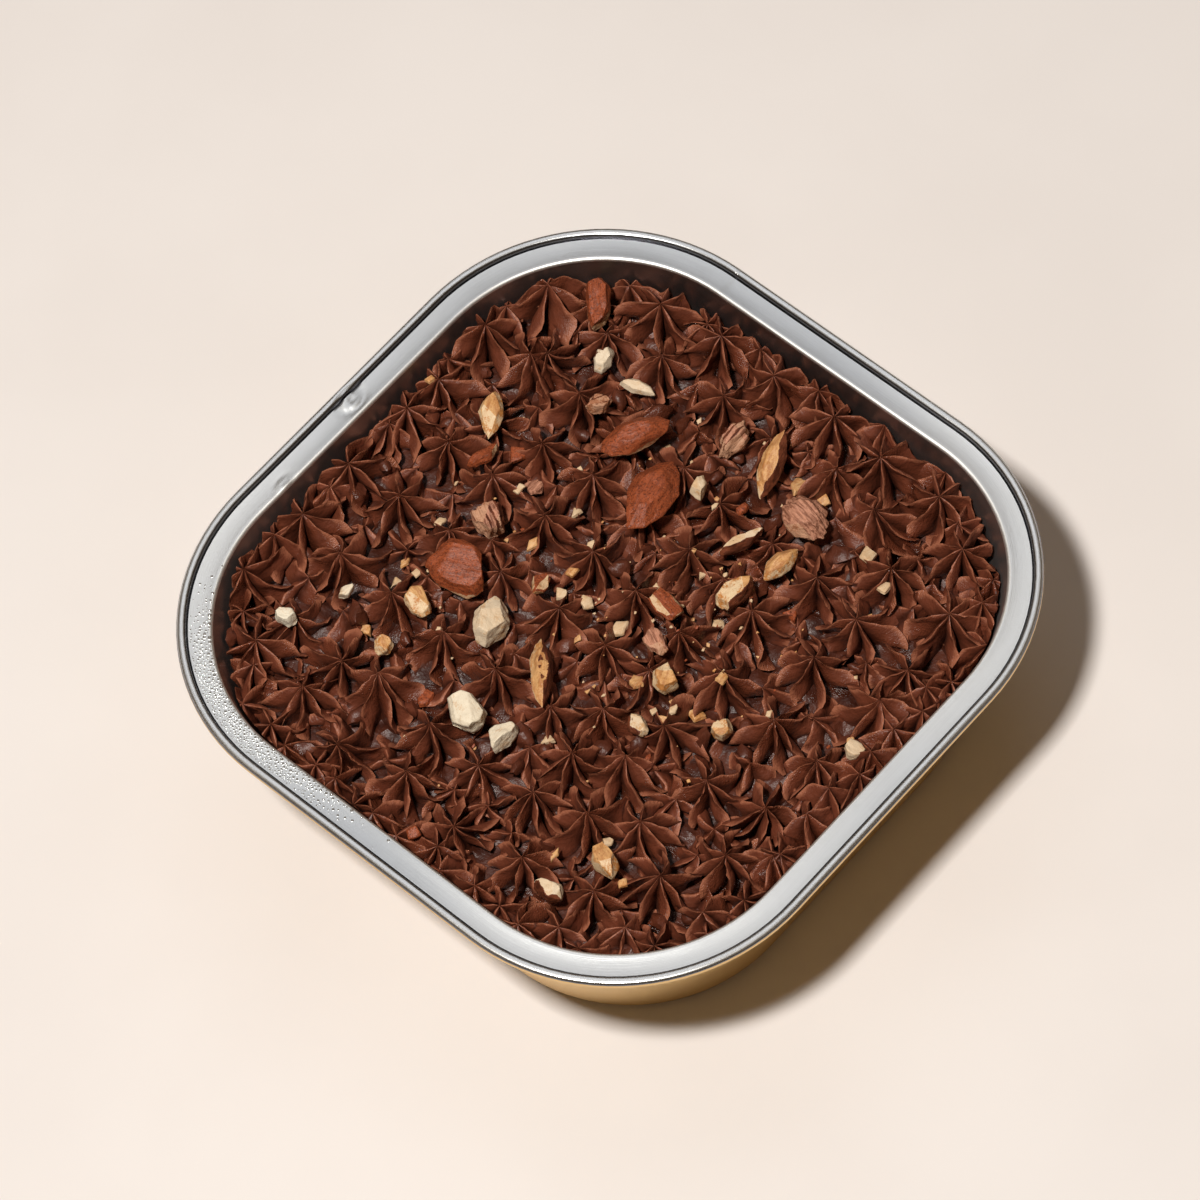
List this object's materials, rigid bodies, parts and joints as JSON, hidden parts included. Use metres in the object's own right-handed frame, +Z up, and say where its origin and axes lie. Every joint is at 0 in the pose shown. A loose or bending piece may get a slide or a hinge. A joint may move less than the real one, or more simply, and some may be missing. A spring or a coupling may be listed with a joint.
{
  "type": "chocolate almond cake in a foil tin",
  "caption": "Square chocolate cake with round corners, piped all over with frosting stars and topped with chopped almonds, in its shallow foil tin with a flat rim.",
  "frame": {"origin": "middle of the tin's flat underside", "axes": "+Z up, X and Y along the tin's sides"},
  "size_m": [0.13, 0.13, 0.0404],
  "materials": {
    "foil": "smooth silver foil inside and on the rim, gold lacquer outside",
    "frosting": "soft dark chocolate frosting with a faint sheen",
    "skin": "dry wrinkled brown almond skin",
    "cream": "smooth cut almond, pale cream",
    "toasted": "cut almond with golden toasted edges",
    "striped": "tan almond with the marks of its skin"
  },
  "bodies": {
    "root": {"almond_cream_03": "cream", "almond_cream_04": "cream", "almond_cream_05": "cream", "almond_cream_11": "cream", "almond_cream_13": "cream", "almond_cream_16": "cream", "almond_cream_22": "cream", "almond_cream_25": "cream", "almond_cream_28": "cream", "almond_cream_30": "cream", "almond_cream_32": "cream", "almond_cream_33": "cream", "almond_skin_01": "skin", "almond_skin_09": "skin", "almond_skin_10": "skin", "almond_skin_14": "skin", "almond_skin_15": "skin", "almond_skin_23": "skin", "almond_skin_34": "skin", "almond_striped_07": "striped", "almond_striped_12": "striped", "almond_striped_17": "striped", "almond_striped_21": "striped", "almond_striped_24": "striped", "almond_toasted_02": "toasted", "almond_toasted_06": "toasted", "almond_toasted_08": "toasted", "almond_toasted_18": "toasted", "almond_toasted_19": "toasted", "almond_toasted_20": "toasted", "almond_toasted_26": "toasted", "almond_toasted_27": "toasted", "almond_toasted_29": "toasted", "almond_toasted_31": "toasted", "cake": "frosting", "tin": "foil"}
  },
  "joints": []
}
